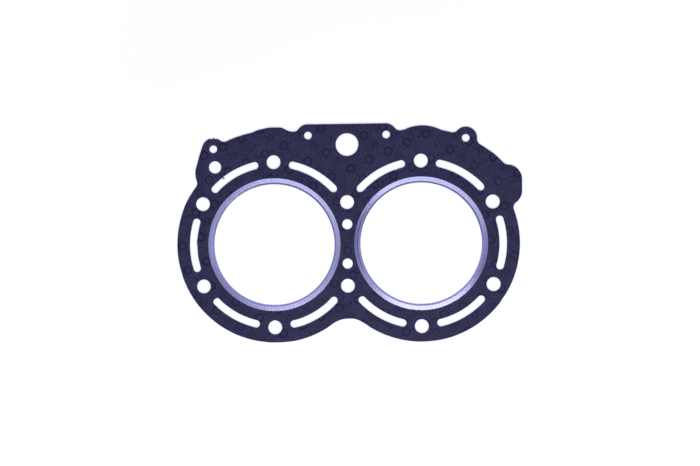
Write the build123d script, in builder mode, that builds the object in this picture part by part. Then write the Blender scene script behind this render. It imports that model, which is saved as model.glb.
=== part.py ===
from build123d import *

import math
import os

# Head gasket of a two-cylinder, water-cooled engine: one die-cut facing sheet, and a steel ring
# folded over the edge of each of its two cylinder openings.
# It lies flat on XY in millimetres.  +X runs along the cylinder row, +Y towards the side with the
# coolant outlet, +Z up to the cylinder head.  The origin is midway between the cylinders, in the
# plane of the facing's underside.

# ---- thicknesses ----
facing_thickness = 1.2
strip_thickness = 0.2  # steel strip of the bore rings
fit_gap = 0.05  # between a ring's wall and the edge of the sheet that it is crimped round

# ---- cylinder row and bore rings ----
bore_pitch = 96.0
ring_bore_radius = 39.5
flange_width = 4.0  # radial width of the fold, from the bore to the rim

# ---- head bolts ----
bolt_hole_diameter = 9.0
bolt_circle_radius = 54.0  # about each cylinder
end_bolt_angle = 30.0  # end bolts lie at this angle each side of the row's line
middle_bolt_y = 27.3  # pair shared by both cylinders, on the line between them

# ---- coolant slots: five arcs about each cylinder, between the bolts ----
slot_width = 4.8
slot_inset = 0.7  # the slots' middle line lies this far inside the bolt circle
slot_half_angle = 16.5  # from a slot's middle to the centre of its end
slot_step_angle = 60.0
slots_per_cylinder = 5
outer_land = 8.4  # facing left between the slots and the outline

# ---- round passages ----
bridge_hole_diameter = 6.65
bridge_hole_y = 12.85
outlet_diameter = 14.8
outlet_x = 0.3
outlet_y = 64.9
feed_hole_diameter = 8.0
feed_hole_angle = 127.1  # polar angle about the left cylinder
feed_hole_land = 4.35  # facing left between the slots and the hole

# ---- ears: small holes with a land of their own ----
ear_hole_diameter = 5.0
ear_land = 4.9
rail_hole_x = 25.6  # the top rail carries one at each end
rail_hole_y = 71.1
left_ear_from_feed_hole = (-1.0, 11.9)
right_ear_from_cylinder = (29.7, 68.2)

# ---- outline ----
valley_radius = 19.0  # hollow between the two lobes on the lower side
crown_rise = 10.8  # how far the upper side stands out beyond the lobes
crown_end_left = 125.0  # polar angles where the left and right crown stop
crown_end_right = 41.0
swell_radius = 26.8  # gentle swell in the crown round each upper bolt
swell_from_bolt = (1.2, -4.0)  # its centre: away from the middle of the gasket, and down
flank_radius = 13.1  # round flank about the feed hole
flank_drop = 4.0  # its centre is this far below the hole's
shoulder_reach = 65.9  # right shoulder's outer edge, from the right cylinder's centre
shoulder_bottom = 24.2
shoulder_top = 50.6
shoulder_corner_radius = 9.5
blend_radius = 4.0  # hollow corners where lobes, ears and shoulder run together

# The left ear's tip is broken along this ragged line, given from its hole's centre.
torn_line = [(-2.7, 7.0), (-1.9, 6.9), (-1.3, 6.6), (-0.5, 6.9), (0.1, 7.5)]
torn_line += [(0.7, 7.0), (1.8, 6.8), (2.7, 6.8), (3.6, 6.4)]
torn_height = 9.0  # clear of the ear's tip

# ---- values that follow from those above ----
left_x = -bore_pitch / 2
right_x = bore_pitch / 2
cylinder_centres = [(left_x, 0), (right_x, 0)]
flange_radius = ring_bore_radius + flange_width
opening_radius = ring_bore_radius + strip_thickness + fit_gap
slot_radius = bolt_circle_radius - slot_inset
slot_reach = slot_radius + slot_width / 2
lobe_radius = slot_reach + outer_land
crown_radius = lobe_radius + crown_rise
ear_radius = ear_hole_diameter / 2 + ear_land
rail_top = rail_hole_y + ear_radius
feed_hole_radius = feed_hole_diameter / 2
feed_reach = slot_reach + feed_hole_land + feed_hole_radius
feed_hole = Vector(left_x, 0) + Vector(feed_reach, 0).rotate(Axis.Z, feed_hole_angle)
flank = feed_hole - Vector(0, flank_drop)
left_ear = feed_hole + Vector(*left_ear_from_feed_hole)
right_ear = Vector(right_x, 0) + Vector(*right_ear_from_cylinder)
swell_y = bolt_circle_radius + swell_from_bolt[1]
left_swell = (left_x - swell_from_bolt[0], swell_y)
right_swell = (right_x + swell_from_bolt[0], swell_y)
bolt_centres = [(0, middle_bolt_y), (0, -middle_bolt_y)]
for centre_x, outward in ((left_x, -1), (right_x, 1)):
    for angle in (-end_bolt_angle, end_bolt_angle, -90, 90):
        along = bolt_circle_radius * math.cos(math.radians(angle))
        across = bolt_circle_radius * math.sin(math.radians(angle))
        bolt_centres.append((centre_x + outward * along, across))

os.makedirs("parts", exist_ok=True)


# ---- facing sheet ----
# The upper outline is a larger arc about each cylinder, cut off by a ray at each end.
ray = 2 * crown_radius
left_ray = Vector(left_x, 0) + Vector(ray, 0).rotate(Axis.Z, crown_end_left)
right_ray = Vector(right_x, 0) + Vector(ray, 0).rotate(Axis.Z, crown_end_right)
with BuildSketch() as crown:
    with Locations(*cylinder_centres):
        Circle(crown_radius)
    with BuildLine():
        Polyline(*cylinder_centres, right_ray, left_ray, close=True)
    make_face(mode=Mode.INTERSECT)

# The left ear and the flank below it share straight tangents.
with BuildSketch() as left_lug:
    with Locations(left_ear):
        Circle(ear_radius)
    with Locations(flank):
        Circle(flank_radius)
    make_hull()

with BuildSketch() as blank:
    with Locations(*cylinder_centres):
        Circle(lobe_radius)
    fillet(blank.vertices().sort_by(Axis.Y)[0], radius=valley_radius)
    add(crown.sketch)
    add(left_lug.sketch)
    with Locations(right_ear):
        Circle(ear_radius)
    with Locations(left_swell, right_swell):
        Circle(swell_radius)
    # The rail runs down to the line of the cylinder centres, and the shoulder in to the right one.
    with Locations((0, rail_top / 2)):
        RectangleRounded(2 * (rail_hole_x + ear_radius), rail_top, ear_radius)
    with Locations((right_x + shoulder_reach / 2, (shoulder_bottom + shoulder_top) / 2)):
        RectangleRounded(shoulder_reach, shoulder_top - shoulder_bottom, shoulder_corner_radius)
    # Growing and shrinking by one radius rounds every hollow corner and leaves the rest as it was.
    offset(amount=blend_radius)
    offset(amount=-blend_radius)
    with Locations(left_ear):
        Polygon(
            *torn_line,
            (torn_line[-1][0], torn_height),
            (torn_line[0][0], torn_height),
            align=None,
            mode=Mode.SUBTRACT,
        )

slot_arcs = []
for centre, outward_angle in zip(cylinder_centres, (180, 0)):
    for step in range(slots_per_cylinder):
        middle = outward_angle + (step - (slots_per_cylinder - 1) / 2) * slot_step_angle
        slot_arcs.append(CenterArc(centre, slot_radius, middle - slot_half_angle, 2 * slot_half_angle))

with BuildPart() as gasket_sheet:
    add(blank.sketch)
    extrude(amount=facing_thickness)
    with Locations(*cylinder_centres):
        Hole(opening_radius)
    with BuildSketch() as slots:
        for arc in slot_arcs:
            SlotArc(arc, slot_width)
    extrude(amount=facing_thickness, mode=Mode.SUBTRACT)
    with Locations(*bolt_centres):
        Hole(bolt_hole_diameter / 2)
    with Locations((0, bridge_hole_y), (0, -bridge_hole_y)):
        Hole(bridge_hole_diameter / 2)
    with Locations((outlet_x, outlet_y)):
        Hole(outlet_diameter / 2)
    with Locations(feed_hole):
        Hole(feed_hole_radius)
    with Locations((-rail_hole_x, rail_hole_y), (rail_hole_x, rail_hole_y), left_ear, right_ear):
        Hole(ear_hole_diameter / 2)
gasket_sheet.part.label = "gasket_sheet"
export_step(gasket_sheet.part, "parts/gasket_sheet.step")


# ---- bore rings ----
# Steel strip folded in a U over the facing's edge: a wall towards the cylinder, and a flange that
# lies on each face of the sheet.  The line is the fold's outer face, and the strip is inside it.
fold_top = facing_thickness + strip_thickness
fold_bottom = -strip_thickness
for number, (centre_x, _) in enumerate(cylinder_centres, start=1):
    wall_x = centre_x + ring_bore_radius
    rim_x = centre_x + flange_radius
    with BuildPart() as bore_ring:
        with BuildSketch(Plane.XZ) as strip_section:
            with BuildLine():
                Polyline((rim_x, fold_top), (wall_x, fold_top), (wall_x, fold_bottom), (rim_x, fold_bottom))
                offset(amount=strip_thickness, kind=Kind.INTERSECTION, side=Side.LEFT)
            make_face()
        revolve(axis=Axis((centre_x, 0, 0), (0, 0, 1)))
    bore_ring.part.label = f"bore_ring_{number}"
    export_step(bore_ring.part, f"parts/bore_ring_{number}.step")
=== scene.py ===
import math

import bmesh
import bpy
from mathutils import Matrix, Vector, noise


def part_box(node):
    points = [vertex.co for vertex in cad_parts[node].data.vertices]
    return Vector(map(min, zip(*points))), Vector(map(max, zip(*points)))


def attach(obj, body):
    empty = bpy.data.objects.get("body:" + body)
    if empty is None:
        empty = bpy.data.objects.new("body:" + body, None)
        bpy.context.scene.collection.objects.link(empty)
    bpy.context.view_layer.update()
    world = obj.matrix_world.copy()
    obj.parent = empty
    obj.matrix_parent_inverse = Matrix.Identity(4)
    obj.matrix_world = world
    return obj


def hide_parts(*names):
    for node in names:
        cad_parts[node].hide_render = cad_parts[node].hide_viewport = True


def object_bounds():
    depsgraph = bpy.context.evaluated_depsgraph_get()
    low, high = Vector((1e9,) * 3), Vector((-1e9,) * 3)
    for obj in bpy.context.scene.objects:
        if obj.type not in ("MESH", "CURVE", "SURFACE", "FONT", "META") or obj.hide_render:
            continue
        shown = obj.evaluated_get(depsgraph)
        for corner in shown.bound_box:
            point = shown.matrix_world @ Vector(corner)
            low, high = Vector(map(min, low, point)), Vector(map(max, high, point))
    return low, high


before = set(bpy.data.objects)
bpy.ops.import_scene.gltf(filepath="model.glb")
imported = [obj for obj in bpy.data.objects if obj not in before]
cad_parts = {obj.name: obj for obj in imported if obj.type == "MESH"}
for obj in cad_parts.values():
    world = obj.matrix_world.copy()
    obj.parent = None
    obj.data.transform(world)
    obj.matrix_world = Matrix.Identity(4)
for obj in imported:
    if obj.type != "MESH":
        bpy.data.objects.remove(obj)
cad_low, cad_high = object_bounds()

# ---- facing sheet: the cut board ----
# One sheet of compressed fibre and graphite, 1.2 mm thick, stamped out in a single stroke.  The
# punch leaves a slightly crushed rim on both faces and a wall that wanders and ripples along its
# run.  At some spots it strays further, so a slot or a flank differs from the regular pattern.
mm = 0.001
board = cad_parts["gasket_sheet"]
board_low, board_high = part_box("gasket_sheet")
board_thickness = board_high.z - board_low.z
openings = [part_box("bore_ring_1"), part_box("bore_ring_2")]
cylinders = [(low + high) / 2 for low, high in openings]
for cylinder in cylinders:
    cylinder.z = 0
covered_radius = 41.5 * mm  # nearer to a cylinder than this, the cut is hidden by its ring
cut_step = 0.45 * mm  # longest edge along the cut
weld = 0.001 * mm
crushed_rim = 0.25 * mm
folded_rim = 0.70 * mm  # the crimp breaks the board's edge where the ring grips it
wander, wander_length = 0.05 * mm, 7.0 * mm
ripple, ripple_length = 0.028 * mm, 1.1 * mm
strays = [  # place along the cut, how far it spreads, and how far the edge is pushed, in mm
    # nicks and small swellings
    ((-99.0, 2.4), 3.0, (-0.32, 0.02)),
    ((32.0, 48.3), 1.2, (0.08, -0.28)),
    ((100.0, -36.0), 3.2, (-0.22, 0.14)),
    ((-48.1, -49.5), 1.5, (-0.05, 0.24)),
    ((-109.4, -18.0), 4.0, (0.16, 0.05)),
    ((12.2, -53.1), 2.6, (0.02, 0.16)),
    # ends of slots
    ((7.7, 35.0), 6.0, (-0.60, -0.63)),
    ((-7.7, 35.0), 6.0, (0.47, -0.50)),
    ((88.3, 35.0), 6.0, (0.34, -0.36)),
    ((-88.3, -35.0), 6.0, (0.58, -0.60)),
    # the lower left lobe's inner flank, and the slot beside it
    ((-31.5, -50.7), 14.0, (0.16, -0.28)),
    ((-21.3, -46.2), 14.0, (0.16, -0.28)),
    ((-12.3, -39.6), 14.0, (0.16, -0.28)),
    ((-34.0, -62.6), 14.0, (0.07, -0.30)),
    ((-24.0, -59.4), 14.0, (0.11, -0.30)),
    ((-14.5, -54.6), 14.0, (0.20, -0.34)),
    # other flanks and hollows
    ((5.0, -49.6), 9.0, (0.07, 0.28)),
    ((-42.8, 76.0), 6.0, (0.12, 0.50)),
    ((-54.6, 76.2), 6.0, (0.05, -0.26)),
    ((-105.8, 27.5), 16.0, (-0.24, 0.12)),
    ((-96.6, 59.5), 12.0, (-0.22, 0.07)),
    ((96.6, 57.0), 7.0, (0.13, 0.15)),
    # round holes off their centres
    ((-25.6, 71.1), 10.0, (0.46, 0.0)),
    ((25.6, 71.1), 10.0, (0.46, 0.0)),
    ((48.0, 54.0), 16.0, (0.50, -0.28)),
    ((94.8, 27.0), 16.0, (0.0, -0.50)),
    ((-48.0, -54.0), 12.0, (0.0, -0.40)),
]


def under_ring(vert):
    """Whether a point of the cut is covered by one of the bore rings."""
    return min((vert.co.xy - c.xy).length for c in cylinders) < covered_radius


def sharp_edges(mesh, above):
    """Edges where two faces meet at more than this angle, in degrees."""
    limit = math.radians(above)
    return [e for e in mesh.edges if e.is_manifold and e.calc_face_angle() > limit]


# The rim of the upper face is kept, cut finer, moved about and filled again.
cut = bmesh.new()
cut.from_mesh(board.data)
bmesh.ops.remove_doubles(cut, verts=cut.verts, dist=weld)
rim = {e for e in cut.edges if sum(f.normal.z > 0.9 for f in e.link_faces) == 1}
inner = [e for e in cut.edges if e not in rim]
bmesh.ops.delete(cut, geom=list(cut.faces), context="FACES_ONLY")
bmesh.ops.delete(cut, geom=inner, context="EDGES")
bmesh.ops.delete(cut, geom=[v for v in cut.verts if not v.link_edges], context="VERTS")
by_cuts = {}
for edge in cut.edges:
    by_cuts.setdefault(math.ceil(edge.calc_length() / cut_step) - 1, []).append(edge)
for cuts, edges in by_cuts.items():
    if cuts > 0:
        bmesh.ops.subdivide_edges(cut, edges=edges, cuts=cuts)
noise.seed_set(1)  # without a seed, each run would move the cut differently
for vert in cut.verts:
    if under_ring(vert):
        continue
    push = noise.noise_vector(vert.co / wander_length) * wander
    push += noise.noise_vector(vert.co / ripple_length) * ripple
    for (x, y), spread, (dx, dy) in strays:
        away = (vert.co.xy / mm - Vector((x, y))).length
        push += Vector((dx, dy, 0)) * math.exp(-((away / (spread / 2)) ** 2)) * mm
    vert.co.x = min(max(vert.co.x + push.x, board_low.x), board_high.x)
    vert.co.y = min(max(vert.co.y + push.y, board_low.y), board_high.y)
bmesh.ops.triangle_fill(cut, use_beauty=True, use_dissolve=False, edges=cut.edges)
bmesh.ops.recalc_face_normals(cut, faces=cut.faces)
if sum(face.normal.z for face in cut.faces) < 0:
    bmesh.ops.reverse_faces(cut, faces=cut.faces)
lower = bmesh.ops.extrude_face_region(cut, geom=list(cut.faces), use_keep_orig=True)
lower_verts = [g for g in lower["geom"] if isinstance(g, bmesh.types.BMVert)]
bmesh.ops.translate(cut, verts=lower_verts, vec=(0, 0, -board_thickness))
bmesh.ops.recalc_face_normals(cut, faces=cut.faces)
for covered, width, segments in ((False, crushed_rim, 2), (True, folded_rim, 1)):
    bmesh.ops.bevel(
        cut, geom=[e for e in sharp_edges(cut, above=60) if under_ring(e.verts[0]) == covered],
        offset=width, offset_type="OFFSET", affect="EDGES", segments=segments, profile=0.5,
        material=-1, clamp_overlap=False, loop_slide=False,
    )
for face in cut.faces:
    face.smooth = True
    face.material_index = 0 if abs(face.normal.z) > 0.999 else 1  # coat, or cut wall
for edge in cut.edges:
    edge.smooth = True
for edge in sharp_edges(cut, above=24):
    edge.smooth = False
facing_mesh = bpy.data.meshes.new("facing_board")
cut.to_mesh(facing_mesh)
cut.free()
facing = bpy.data.objects.new("facing_board", facing_mesh)
bpy.context.scene.collection.objects.link(facing)
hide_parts("gasket_sheet")
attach(facing, "root")


# ---- facing sheet: the coated faces ----
# Both faces carry a thin blue-black release coat over felted fibre: soft clouds, a fine orange
# peel, stray light fibres, and on the upper face a printed field of plain shapes in darker ink.
class Wire:
    """A socket in a material's node tree.  Sums and products on it add Math nodes."""

    def __init__(self, tree, socket=None):
        self.tree, self.socket = tree, socket

    def node(self, kind, settings=None, sockets=None, output=0):
        """Adds a node: its settings, then the values or wires of its sockets.  Gives its output."""
        made = self.tree.nodes.new(kind)
        for name, value in (settings or {}).items():
            setattr(made, name, value)
        for name, value in (sockets or {}).items():
            if isinstance(value, Wire):
                self.tree.links.new(value.socket, made.inputs[name])
            else:
                made.inputs[name].default_value = value
        return Wire(self.tree, made.outputs[output])

    def math(self, operation, *others, clamp=False):
        settings = {"operation": operation, "use_clamp": clamp}
        return self.node("ShaderNodeMath", settings, dict(enumerate((self, *others))))

    def __add__(self, other):
        return self.math("ADD", other)

    __radd__ = __add__

    def __mul__(self, other):
        return self.math("MULTIPLY", other)

    __rmul__ = __mul__

    def __sub__(self, other):
        return self.math("SUBTRACT", other)

    def __rsub__(self, other):
        return (self * -1).math("ADD", other)

    def __truediv__(self, other):
        return self.math("DIVIDE", other)

    def __abs__(self):
        return self.math("ABSOLUTE")

    def stretch(self, gain, offset):
        """This times the gain plus the offset, kept between 0 and 1."""
        return self.math("MULTIPLY_ADD", gain, offset, clamp=True)

    def fades(self, start, end):
        """1 below start, 0 above end, and a smooth step between."""
        limits = {"interpolation_type": "SMOOTHSTEP"}
        return self.node("ShaderNodeMapRange", limits, {0: self, 1: start, 2: end, 3: 1.0, 4: 0.0})

    def noise(self, scale, detail=3.0, roughness=0.55, distortion=0.0):
        """Cloudy noise on this place; the scale is how many of its lumps fit in a metre."""
        sockets = {"Vector": self, "Scale": scale, "Detail": detail, "Roughness": roughness}
        return self.node("ShaderNodeTexNoise", None, {**sockets, "Distortion": distortion})

    def axis(self, name):
        return self.node("ShaderNodeSeparateXYZ", None, {0: self}, output=name)

    def blend(self, low, high):
        """The colour low where this is 0, and high where it is 1."""
        sockets = {0: self, 6: low, 7: high}
        return self.node("ShaderNodeMix", {"data_type": "RGBA"}, sockets, output=2)

    def bump(self, strength, distance):
        """The surface's normal, tilted by this height."""
        sockets = {"Strength": strength, "Distance": distance, "Height": self}
        return self.node("ShaderNodeBump", None, sockets, "Normal")


def finish_for(name, **shine):
    """A material, its shader with these constants, and the wire of a point's place in metres."""
    finish = bpy.data.materials.new(name)
    finish.use_nodes = True
    shader = finish.node_tree.nodes["Principled BSDF"]
    for socket, value in shine.items():
        shader.inputs[socket.replace("_", " ")].default_value = value
    place = Wire(finish.node_tree).node("ShaderNodeTexCoord", output="Object")
    return finish, shader, place


def wear(shader, **wires):
    """Links what varies over the surface to the shader's sockets."""
    for socket, wire in wires.items():
        wire.tree.links.new(wire.socket, shader.inputs[socket.replace("_", " ")])


coat, coat_shader, place = finish_for("facing_coat", IOR=1.45, Specular_IOR_Level=0.22)
clouds = place.noise(95, 4, 0.6)
felt = place.noise(620, 5, 0.65, 0.4)
grain = place.noise(2300, 3, 0.6)
drift = place.noise(170, 3, 0.6, 0.6)
violet_navy, blue_navy = (0.0370, 0.0318, 0.0870, 1), (0.0295, 0.0340, 0.0925, 1)
navy = drift.stretch(2.2, -0.6).blend(violet_navy, blue_navy)
light = (clouds * 0.8 + felt * 1.7 + grain * 0.5 - 0.5).math("MAXIMUM", 0.3)

# The ink is laid in slanted rows: outlined hexagons with two dots between them, and in every
# other row pairs of chevrons.
print_angle = math.radians(24)
row_pitch = 8.0 * mm
along_pitch = 13.5 * mm
row_shift = 0.37  # share of a pitch by which each row is set off from the last
hexagon_reach = 2.3 * mm  # from a hexagon's middle to its sides
chevron_reach = 1.5 * mm  # from a pair's middle to the point of each
dot_reach = 5.0 * mm  # from a hexagon's middle to the dots beside it
across = place.axis("X") * -math.sin(print_angle) + place.axis("Y") * math.cos(print_angle)
along = place.axis("X") * math.cos(print_angle) + place.axis("Y") * math.sin(print_angle)
row = (across / row_pitch).math("FLOOR")
odd_row = row.math("FLOORED_MODULO", 2.0)
in_row = (across / row_pitch - row - 0.5) * row_pitch
shifted = along / along_pitch + row * row_shift
in_cell = (shifted - shifted.math("FLOOR") - 0.5) * along_pitch
hexagon = (abs(in_row) * 0.5 + abs(in_cell) * 0.866).math("MAXIMUM", abs(in_row))
hexagon_line = abs(hexagon - hexagon_reach).fades(0.48 * mm, 0.72 * mm)
chevron = abs(in_cell + abs(in_row) * 0.8)
chevron_line = abs(chevron - chevron_reach).fades(0.44 * mm, 0.70 * mm)
chevron_line = chevron_line * abs(in_row).fades(2.3 * mm, 2.6 * mm)
dot_place = abs(in_cell) - dot_reach
dot = (dot_place * dot_place + in_row * in_row).math("SQRT").fades(0.5 * mm, 0.75 * mm)
hexagon_rows = (hexagon_line + dot) * odd_row
chevron_rows = chevron_line * 0.75 * (1 - odd_row)
upper_face = place.axis("Z").math("GREATER_THAN", board_thickness / 2)
ink_wear = place.noise(260, 4, 0.7).stretch(3.4, -0.9)
ink = (hexagon_rows + chevron_rows).math("MINIMUM", 1.0)
ink = ink * (0.7 + ink_wear * 0.3) * upper_face
inked = ink.blend(navy, (0.0105, 0.0105, 0.0500, 1))

# Lighter fibres and a few flecks show through the coat.
shade = place.node("ShaderNodeCombineXYZ", None, {0: light, 1: light, 2: light})
tinted = inked.node("ShaderNodeVectorMath", {"operation": "MULTIPLY"}, {0: inked, 1: shade})
stray_fibre = place.noise(1500, 2, 0.5, 2.5).stretch(16.0, -11.2)
cells = {"Vector": place, "Scale": 85.0}
fleck_distance = place.node("ShaderNodeTexVoronoi", None, cells, "Distance")
fleck_pick = place.node("ShaderNodeTexVoronoi", None, cells, "Color").axis("X")
fleck = fleck_distance.fades(0.02, 0.05) * fleck_pick.math("GREATER_THAN", 0.72)
showing = (stray_fibre * 0.3).math("MAXIMUM", fleck * 0.45)
coat_colour = showing.blend(tinted, (0.13, 0.14, 0.24, 1))
peel = (felt * 0.6 + grain * 0.4 - ink * 0.15).bump(0.35, 0.03 * mm)
coat_roughness = 0.62 + clouds * 0.16 - ink * 0.12
wear(coat_shader, Base_Color=coat_colour, Roughness=coat_roughness, Normal=peel)
facing_mesh.materials.append(coat)

# ---- facing sheet: the cut wall ----
# Where the punch went through, the coat stops: crushed and drawn fibre in a greyer, lighter blue,
# streaked down the wall by the punch, with patches of coat dragged over it.
wall, wall_shader, place = finish_for("facing_cut_fibre", Specular_IOR_Level=0.25)
drawn = place.node("ShaderNodeMapping", None, {"Vector": place, "Scale": (1, 1, 0.25)})
streaks = drawn.noise(2600, 4, 0.65, 0.3)
lumps = place.noise(700, 3, 0.6)
fibre = (streaks * 2.0 + lumps * 1.2).math("SUBTRACT", 1.1, clamp=True)
fibre_colour = fibre.blend((0.040, 0.042, 0.185, 1), (0.135, 0.145, 0.460, 1))
coat_left = place.noise(480, 4, 0.65).stretch(9.0, -5.1)
fibre_colour = (coat_left * 0.6).blend(fibre_colour, (0.030, 0.030, 0.100, 1))
ragged = streaks.bump(0.7, 0.05 * mm)
wear(wall_shader, Base_Color=fibre_colour, Roughness=0.7 + streaks * 0.25, Normal=ragged)
facing_mesh.materials.append(wall)


# ---- fibre strand ----
# A strand of the board that the punch didn't shear: it hangs off the outer wall of the upper left
# coolant slot and curls into the slot.  Its outer end is still coated.
strand_root = Vector((-82.05, 44.45, 0.80)) * mm
strand_lean = Vector((0.84, -0.54, 0.08)).normalized()
strand_radius = 0.40 * mm
strand_reach = 2.0 * mm
strand_steps = 7
strand = bmesh.new()
circle = bmesh.ops.create_circle(strand, cap_ends=True, radius=strand_radius, segments=8)
lean_matrix = strand_lean.to_track_quat("Z", "Y").to_matrix()
bmesh.ops.rotate(strand, verts=circle["verts"], matrix=lean_matrix)
bmesh.ops.translate(strand, verts=circle["verts"], vec=strand_root)
tip = list(strand.faces)
bmesh.ops.reverse_faces(strand, faces=tip)
bmesh.ops.duplicate(strand, geom=tip)  # the copy stays behind and closes the root
for step in range(strand_steps):
    grown = bmesh.ops.extrude_face_region(strand, geom=tip)["geom"]
    bmesh.ops.delete(strand, geom=tip, context="FACES_ONLY")
    tip = [g for g in grown if isinstance(g, bmesh.types.BMFace)]
    tip_verts = [g for g in grown if isinstance(g, bmesh.types.BMVert)]
    curl = Vector((0.025, 0.035 * math.sin(step * 1.3), 0.05 - 0.025 * step)) * mm
    growth = strand_lean * (strand_reach / strand_steps) + curl
    bmesh.ops.translate(strand, verts=tip_verts, vec=growth)
    centre = sum((v.co for v in tip_verts), Vector()) / len(tip_verts)
    thinning = 0.97 if step < 4 else 0.80
    for vert in tip_verts:
        vert.co = centre + (vert.co - centre) * thinning
bmesh.ops.remove_doubles(strand, verts=strand.verts, dist=weld)
bmesh.ops.recalc_face_normals(strand, faces=strand.faces)
for face in strand.faces:
    face.smooth = True
    from_root = (face.calc_center_median() - strand_root).length
    face.material_index = int(from_root > strand_reach * 0.55)  # torn fibre, then coat
strand_mesh = bpy.data.meshes.new("fibre_strand")
strand.to_mesh(strand_mesh)
strand.free()
strand_mesh.materials.append(wall)
strand_mesh.materials.append(coat)
fibre_strand = bpy.data.objects.new("fibre_strand", strand_mesh)
bpy.context.scene.collection.objects.link(fibre_strand)
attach(fibre_strand, "root")


# ---- bore rings: the folded strip ----
# Each ring is one strip of thin steel, 0.2 mm, folded over the board's edge and crimped down on
# both faces.  Its turn has a crisp break at each flange, two burnished flanks and a blunt nose.
# Its ends butt in a hair-thin joint, and the crimping tool leaves shallow creases.
strip = 0.2 * mm
flange_width = 4.0 * mm
flange_radius = (openings[0][1].x - openings[0][0].x) / 2
bore_radius = flange_radius - flange_width
flange_top = openings[0][1].z
flange_foot = openings[0][0].z
nose_width = 1.18 * mm  # from the bore out to the break
nose_height = 0.36 * mm
break_radius = bore_radius + nose_width
corner_setback = 0.065 * mm  # keeps the strip's thickness where the flank meets the flange
nose_setback = 0.1 * mm  # the same where the flank meets the nose
nose_round = 0.2 * mm
rim_round = 0.07 * mm
crease_width = 0.3 * mm  # to each side of the crease
break_margin = 0.2 * mm  # no line of vertices lies nearer to the break than this
rim_margin = 0.12 * mm  # the last one lies this far inside the rim
joint_width = 0.04 * mm  # to each side of the joint
joint_depth = 0.035 * mm
same_place = 0.004 * mm  # a corner of the mesh this near to a line of the section lies on it
near_crease = 0.01 * mm  # and this near to a crease, it belongs to the crease
ring_steps = 288
ring_makes = [
    # brushed: roughness, and how far the brushing draws the shine out
    # pressed: how far the rim is pressed into the board
    # joint: the angle where the strip's ends meet
    # creases: angles of start and end, place from the bore, depth (below 0 it is raised), and
    # painted shade along the crease (below 0 it is a painted highlight)
    # painted light and shade: middle angle, half its reach, and how much brighter the steel's
    # colour is painted there (below 0, painted shade)
    # marks: radius, angle and colour of a spot
    {
        "brushed": (0.275, 0.48), "pressed": 0.02 * mm, "joint": math.radians(91.6),
        "creases": [
            (98, 170, 1.75 * mm, 0.02 * mm, 0.1),
            (150, 222, 1.5 * mm, -0.01 * mm, -0.25),
        ],
        "painted_light_and_shade": [(168, 36, 0.18), (220, 26, -0.13), (68, 42, 0.08)],
        "marks": [(42.3 * mm, 94.5, (0.62, 0.62, 0.95, 1))],
    },
    {
        "brushed": (0.303, 0.92), "pressed": 0.08 * mm, "joint": math.radians(142.2),
        "creases": [
            (142.2, 212, 1.95 * mm, 0.055 * mm, 0.75),
            (150, 225, 1.3 * mm, 0.0, -0.35),
            (312, 348, 1.4 * mm, -0.02 * mm, -0.5),
        ],
        "painted_light_and_shade": [(2, 24, 0.20), (122, 20, 0.16)],
        "marks": [
            (42.17 * mm, 132.5, (0.12, 0.12, 0.26, 1)),
            # a painted glint: a bright spot where a small dent would catch the light
            (41.84 * mm, -42.7, (0.85, 0.85, 1.0, 1)),
        ],
    },
]

# The flanks and the nose are burnished by the roll that turned them over.
fold_colours = (0.44, 0.44, 0.76, 1), (0.52, 0.52, 0.86, 1)
burnished, burnished_shader, place = finish_for("ring_fold", Metallic=1.0)
worn = place.noise(900, 3, 0.6)
wear(
    burnished_shader, Base_Color=place.noise(180, 3).blend(*fold_colours),
    Roughness=0.2 + worn * 0.06, Normal=worn.bump(0.05, 0.02 * mm),
)


def round_corner(mesh, centre, corner, size, segments):
    """Bevels the edges that run round the ring at this corner of its section."""
    radius, height = corner
    run = [
        e
        for e in mesh.edges
        if all(
            abs((v.co.xy - centre.xy).length - radius) < same_place
            and abs(v.co.z - height) < same_place
            for v in e.verts
        )
    ]
    bmesh.ops.bevel(
        mesh, geom=run, offset=size, offset_type="OFFSET", affect="EDGES", segments=segments,
        profile=0.5, material=-1, clamp_overlap=False,
    )


def in_joint(vert, centre, heading):
    """Whether a corner of the mesh lies in the plane where the strip's ends meet."""
    out = vert.co - centre
    return out.dot(heading) > 0 and abs(out.cross(heading).z) < same_place / 2


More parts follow.
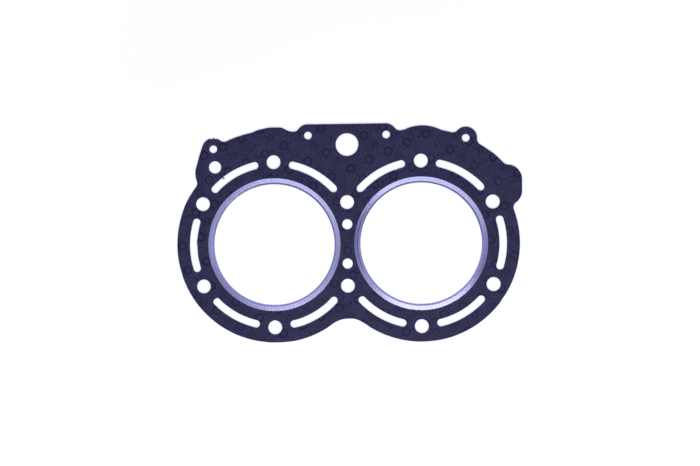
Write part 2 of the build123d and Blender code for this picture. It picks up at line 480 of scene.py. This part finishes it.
for number, (cylinder, make) in enumerate(zip(cylinders, ring_makes), 1):
    joint, pressed = make["joint"], make["pressed"]
    slope = pressed / (flange_radius - break_radius)
    middle = (flange_top + flange_foot) / 2
    crease_radii = sorted(
        bore_radius + offset + side * crease_width
        for _, _, offset, _, _ in make["creases"]
        for side in (-1, 0, 1)
    )
    on_flange = [r for r in crease_radii if r > break_radius + break_margin]
    on_flange.append(flange_radius - rim_margin)
    rim_corner = (flange_radius, flange_top - pressed)
    foot_corner = (flange_radius, flange_foot)
    nose_foot = (bore_radius, middle - nose_height / 2)
    nose_top = (bore_radius, middle + nose_height / 2)
    section = [
        foot_corner,
        (break_radius, flange_foot),
        nose_foot,
        nose_top,
        (break_radius, flange_top),
        *((radius, flange_top - (radius - break_radius) * slope) for radius in on_flange),
        rim_corner,
        (flange_radius, rim_corner[1] - strip),
        (break_radius + corner_setback, flange_top - strip),
        (bore_radius + strip, nose_top[1] - nose_setback),
        (bore_radius + strip, nose_foot[1] + nose_setback),
        (break_radius + corner_setback, flange_foot + strip),
        (flange_radius, flange_foot + strip),
    ]
    fold = bmesh.new()
    to_joint = Vector((math.cos(joint), math.sin(joint), 0))
    corners = [
        fold.verts.new(cylinder + to_joint * radius + Vector((0, 0, height)))
        for radius, height in section
    ]
    profile = [fold.edges.new(pair) for pair in zip(corners, corners[1:] + corners[:1])]
    bmesh.ops.spin(
        fold, geom=corners + profile, cent=cylinder, axis=(0, 0, 1), dvec=(0, 0, 0),
        angle=math.tau, steps=ring_steps, use_merge=True, use_duplicate=False,
    )
    bmesh.ops.recalc_face_normals(fold, faces=fold.faces)
    round_corner(fold, cylinder, nose_foot, nose_round, 4)
    round_corner(fold, cylinder, nose_top, nose_round, 4)
    round_corner(fold, cylinder, rim_corner, rim_round, 2)
    round_corner(fold, cylinder, foot_corner, rim_round, 2)

    # The strip's ends fall away a little where they meet.
    joint_edges = [e for e in fold.edges if all(in_joint(v, cylinder, to_joint) for v in e.verts)]
    bmesh.ops.bevel(
        fold, geom=joint_edges, offset=joint_width, offset_type="OFFSET", affect="EDGES",
        segments=2, profile=0.5, material=-1, clamp_overlap=False,
    )
    fold.normal_update()
    for vert in [v for v in fold.verts if in_joint(v, cylinder, to_joint)]:
        vert.co -= vert.normal * joint_depth
    fold.normal_update()
    for edge in sharp_edges(fold, above=11):
        edge.smooth = False
    for start, end, offset, depth, _ in make["creases"]:
        for vert in fold.verts:
            out = vert.co.xy - cylinder.xy
            on_line = abs(out.length - bore_radius - offset) < near_crease
            on_top = vert.co.z > flange_top - pressed - near_crease
            along_crease = (math.degrees(math.atan2(out.y, out.x)) % 360 - start) / (end - start)
            if on_line and on_top and 0 < along_crease < 1:
                vert.co.z = min(vert.co.z - depth * (1 - along_crease**2), flange_top)
    for face in fold.faces:
        face.smooth = True
        out = face.calc_center_median().xy - cylinder.xy
        faces_bore = out.length < break_radius and face.normal.xy.dot(out) < 0
        face.material_index = int(faces_bore)  # brushed steel, or burnished
    ring_mesh = bpy.data.meshes.new(f"folded_ring_{number}")
    fold.to_mesh(ring_mesh)
    fold.free()
    ring = bpy.data.objects.new(f"folded_ring_{number}", ring_mesh)
    bpy.context.scene.collection.objects.link(ring)
    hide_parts(f"bore_ring_{number}")
    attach(ring, "root")

    # The steel is bright-rolled and faintly violet under its passivation; turning in the crimping
    # tool draws it out in fine circular lines.
    roughness, draw = make["brushed"]
    steel, steel_shader, place = finish_for(
        f"ring_steel_{number}", Metallic=1.0, Anisotropic=draw, Anisotropic_Rotation=0.25
    )
    to_cylinder = {"Vector": place, "Location": (-cylinder.x, 0, 0)}
    centred = place.node("ShaderNodeMapping", None, to_cylinder)
    x, y = centred.axis("X"), centred.axis("Y")
    radius = (x * x + y * y).math("SQRT")
    lines_across = radius * 1500  # fine across the strip, and long round the ring
    lines_place = place.node("ShaderNodeCombineXYZ", None, {0: x * 30, 1: y * 30, 2: lines_across})
    lines = lines_place.noise(1.0, 1, 0.5)
    bands_at = {"W": lines_across, "Scale": 1.0, "Detail": 2.0}
    bands = place.node("ShaderNodeTexNoise", {"noise_dimensions": "1D"}, bands_at)
    stain = place.noise(210, 4, 0.6, 0.5)
    steel_shade = (lines * 0.4 + bands * 0.4 + stain * 0.2).stretch(2.4, -0.7)
    steel_colour = steel_shade.blend((0.38, 0.38, 0.69, 1), (0.52, 0.52, 0.895, 1))
    # Each crease gets a band painted into the steel's colour: darker bands are painted shade,
    # lighter ones (amount below 0) are painted highlights.
    for start, end, offset, _, painted_shade_and_highlight in make["creases"]:
        heading = math.radians((start + end) / 2)
        reach = math.cos(math.radians((end - start) / 2))
        towards_middle = (x * math.cos(heading) + y * math.sin(heading)) / radius
        beside_ends = towards_middle.fades(reach, reach * 0.35 + 0.65)
        on_crease = abs(radius - bore_radius - offset).fades(0.1 * mm, 0.6 * mm)
        on_crease = on_crease * (1 - beside_ends) * abs(painted_shade_and_highlight)
        painted_crease_colour = (0.16, 0.16, 0.32, 1) if painted_shade_and_highlight > 0 else (0.72, 0.72, 0.96, 1)
        steel_colour = on_crease.blend(steel_colour, painted_crease_colour)
    uneven = (place.noise(1300, 3, 0.6) - 0.5) * 1.3 * mm
    # Spots on the steel; on the second ring the bright one is a painted glint of a small dent.
    for mark_radius, mark_angle, mark_colour in make["marks"]:
        mark_x = x - mark_radius * math.cos(math.radians(mark_angle))
        mark_y = y - mark_radius * math.sin(math.radians(mark_angle))
        mark_distance = (mark_x * mark_x + mark_y * mark_y).math("SQRT") + uneven
        mark = mark_distance.fades(0.15 * mm, 0.6 * mm)
        steel_colour = (mark * 0.8).blend(steel_colour, mark_colour)
    # Patches round the ring scale the steel's colour: up for a painted highlight, down for painted
    # shade.
    painted_light_and_shade = 1.0
    for middle_angle, half_angle, amount in make["painted_light_and_shade"]:
        heading = math.radians(middle_angle)
        towards_middle = (x * math.cos(heading) + y * math.sin(heading)) / radius
        beside_patch = towards_middle.fades(math.cos(math.radians(half_angle)), 1.0)
        painted_light_and_shade = painted_light_and_shade + (1 - beside_patch) * amount
    scaled = {0: steel_colour, "Scale": painted_light_and_shade}
    steel_colour = steel_colour.node("ShaderNodeVectorMath", {"operation": "SCALE"}, scaled)
    beside_joint = abs(x * math.sin(joint) - y * math.cos(joint))
    joint_side = (x * math.cos(joint) + y * math.sin(joint)).math("GREATER_THAN", 0.0)
    joint_line = beside_joint.fades(0.04 * mm, 0.22 * mm) * joint_side
    steel_colour = (joint_line * 0.5).blend(steel_colour, (0.20, 0.20, 0.44, 1))
    lined = (lines * 0.7 + bands * 0.3).bump(0.03, 0.02 * mm)
    steel_roughness = roughness - 0.02 + lines * 0.04
    wear(steel_shader, Base_Color=steel_colour, Roughness=steel_roughness, Normal=lined)
    ring_mesh.materials.append(steel)
    ring_mesh.materials.append(burnished)


# ---- floor ----
# A plain pale sweep under the gasket; it isn't part of the object.  It glows a little, more so
# towards its edges, so that it stays white.
floor = bmesh.new()
bmesh.ops.create_grid(floor, x_segments=1, y_segments=1, size=6.0)
bmesh.ops.translate(floor, verts=floor.verts, vec=(0, 0, cad_low.z))
floor_mesh = bpy.data.meshes.new("studio_floor")
floor.to_mesh(floor_mesh)
floor.free()
paper, paper_shader, place = finish_for(
    "studio_paper", Roughness=0.9, Specular_IOR_Level=0.1, Emission_Strength=1.0
)
x, y = place.axis("X"), place.axis("Y")
from_middle = (x * x + y * y).math("SQRT")
glow = from_middle.fades(0.15, 0.30).blend((0.50, 0.50, 0.50, 1), (0.42, 0.42, 0.42, 1))
paper_colour = place.noise(3, 2).blend((0.86, 0.86, 0.87, 1), (0.90, 0.90, 0.90, 1))
wear(paper_shader, Base_Color=paper_colour, Emission_Color=glow)
floor_mesh.materials.append(paper)
studio_floor = bpy.data.objects.new("studio_floor", floor_mesh)
bpy.context.scene.collection.objects.link(studio_floor)

# ---- light ----
# Two soft lamps high over the two long sides of the gasket, in a dim cool room whose walls are a
# little lighter at the back and the sides.
room = bpy.data.worlds.new("room")
room.use_nodes = True
background = room.node_tree.nodes["Background"]
background.inputs["Color"].default_value = (0.70, 0.70, 1.0, 1)
towards = Wire(room.node_tree).node("ShaderNodeTexCoord", output="Generated")
walls = (1 - towards.axis("Z").fades(0.35, 0.5)) * towards.axis("Z").fades(0.65, 0.8)
walls = walls * (1 - towards.axis("Y").fades(-0.45, 0.05))
room_light = walls * 0.42 + 0.34
room.node_tree.links.new(room_light.socket, background.inputs["Strength"])
bpy.context.scene.world = room
for name, location, width, depth, radiance in (
    ("lamp_above", (0.142, 0.243, 1.25), 0.874, 0.295, 2.21),
    ("lamp_below", (0.063, -0.300, 0.60), 0.453, 0.243, 5.58),
):
    lamp_data = bpy.data.lights.new(name, "AREA")
    lamp_data.shape = "RECTANGLE"
    lamp_data.size, lamp_data.size_y = width, depth
    lamp_data.energy = radiance * math.pi * width * depth
    lamp_data.color = (1.0, 0.99, 0.845)
    lamp = bpy.data.objects.new(name, lamp_data)
    lamp.location = location
    back = lamp.location.normalized()
    side = Vector((0, 1, 0)).cross(back).normalized()
    lamp.rotation_euler = Matrix((side, back.cross(side), back)).transposed().to_euler()
    bpy.context.scene.collection.objects.link(lamp)

# ---- camera ----
# Looks almost straight down from about a metre above the gasket, a little to the right of its
# middle, through a long lens.
camera_data = bpy.data.cameras.new("camera")
camera_data.sensor_width = 36.0
camera_data.lens = 77.143
camera_data.clip_start, camera_data.clip_end = 0.01, 50.0
camera = bpy.data.objects.new("camera", camera_data)
camera.location = Vector((60.53, 7.68, 978.6)) * mm
camera.rotation_euler = [math.radians(a) for a in (-0.0664, 3.4424, -0.5806)]
bpy.context.scene.collection.objects.link(camera)
bpy.context.scene.camera = camera
bpy.context.scene.view_settings.view_transform = "Standard"
